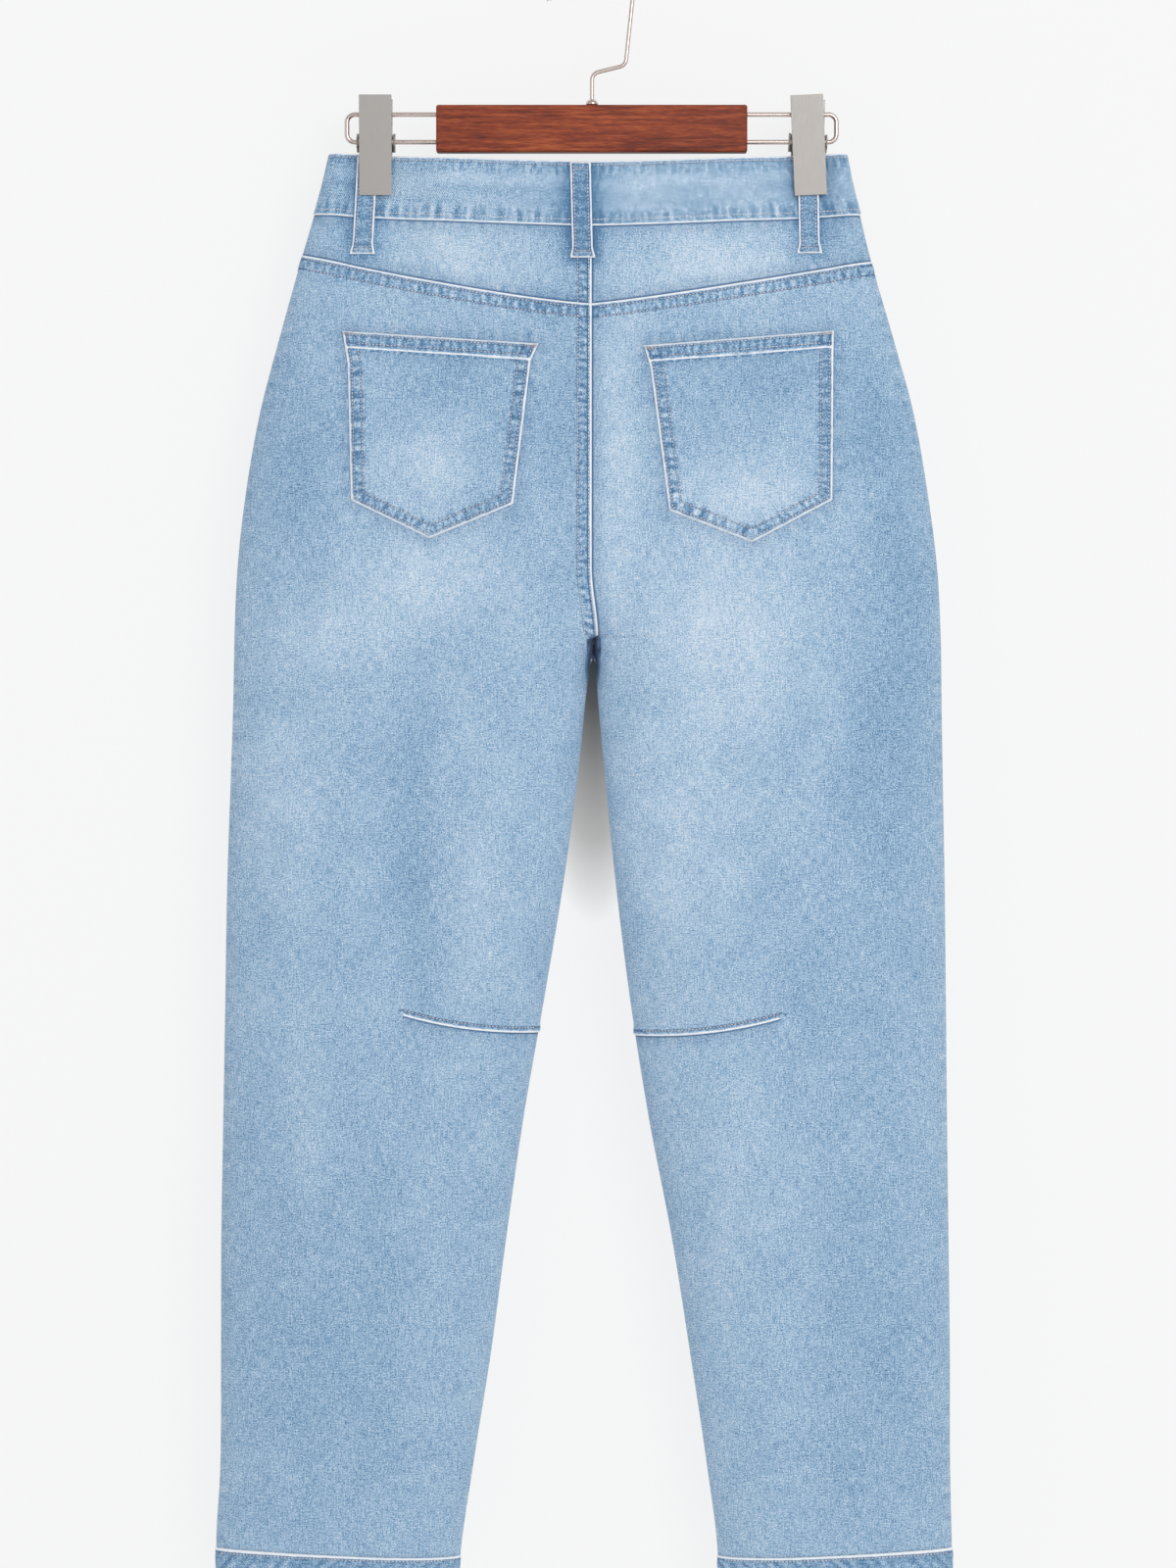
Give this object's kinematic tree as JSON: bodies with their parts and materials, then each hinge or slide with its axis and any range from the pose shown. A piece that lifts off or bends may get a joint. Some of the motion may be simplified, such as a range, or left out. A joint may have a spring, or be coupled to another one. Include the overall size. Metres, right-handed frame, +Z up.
{
  "type": "barrel jeans on a clip hanger",
  "caption": "Pale blue washed barrel-leg jeans, seen from the back, hanging flat by the waistband from a wooden bar hanger with metal spring clips and a wire hook.",
  "frame": {"origin": "inside top of the hook's arch, where a rail carries the hanger", "axes": "+Z up along the hanging jeans, -Y out of the back of the jeans, +X towards the wearer's right"},
  "size_m": [0.5195, 0.066, 1.1424],
  "materials": {
    "denim": "light blue washed twill, matt, faded paler on the seat and thighs",
    "denim_pocket": "light blue washed twill, matt",
    "denim_band": "light blue washed twill, matt, doubled and roped, with pale worn edges",
    "wood": "reddish-brown stained wood with a dark fine grain, satin lacquer",
    "wire": "nickel-plated wire, satin",
    "clip_metal": "nickel-plated pressed sheet, brushed satin",
    "button_metal": "nickel-plated tack button, satin"
  },
  "bodies": {
    "root": {"back_panel_left": "denim", "back_panel_right": "denim", "back_pocket_left": "denim_pocket", "back_pocket_right": "denim_pocket", "back_yoke_left": "denim", "back_yoke_right": "denim", "belt_loop_back_centre": "denim_band", "belt_loop_back_left": "denim_band", "belt_loop_back_right": "denim_band", "belt_loop_front_left": "denim_band", "belt_loop_front_right": "denim_band", "clip_left_back_jaw": "clip_metal", "clip_left_front_jaw": "clip_metal", "clip_left_spring": "clip_metal", "clip_right_back_jaw": "clip_metal", "clip_right_front_jaw": "clip_metal", "clip_right_spring": "clip_metal", "front_panel_left": "denim", "front_panel_right": "denim", "front_pocket_facing_left": "denim_pocket", "front_pocket_facing_right": "denim_pocket", "hanger_bar": "wood", "hem_left": "denim_band", "hem_right": "denim_band", "hook": "wire", "hook_ferrule": "wire", "rail_left": "wire", "rail_right": "wire", "waist_button": "button_metal", "waistband": "denim_band"}
  },
  "joints": []
}
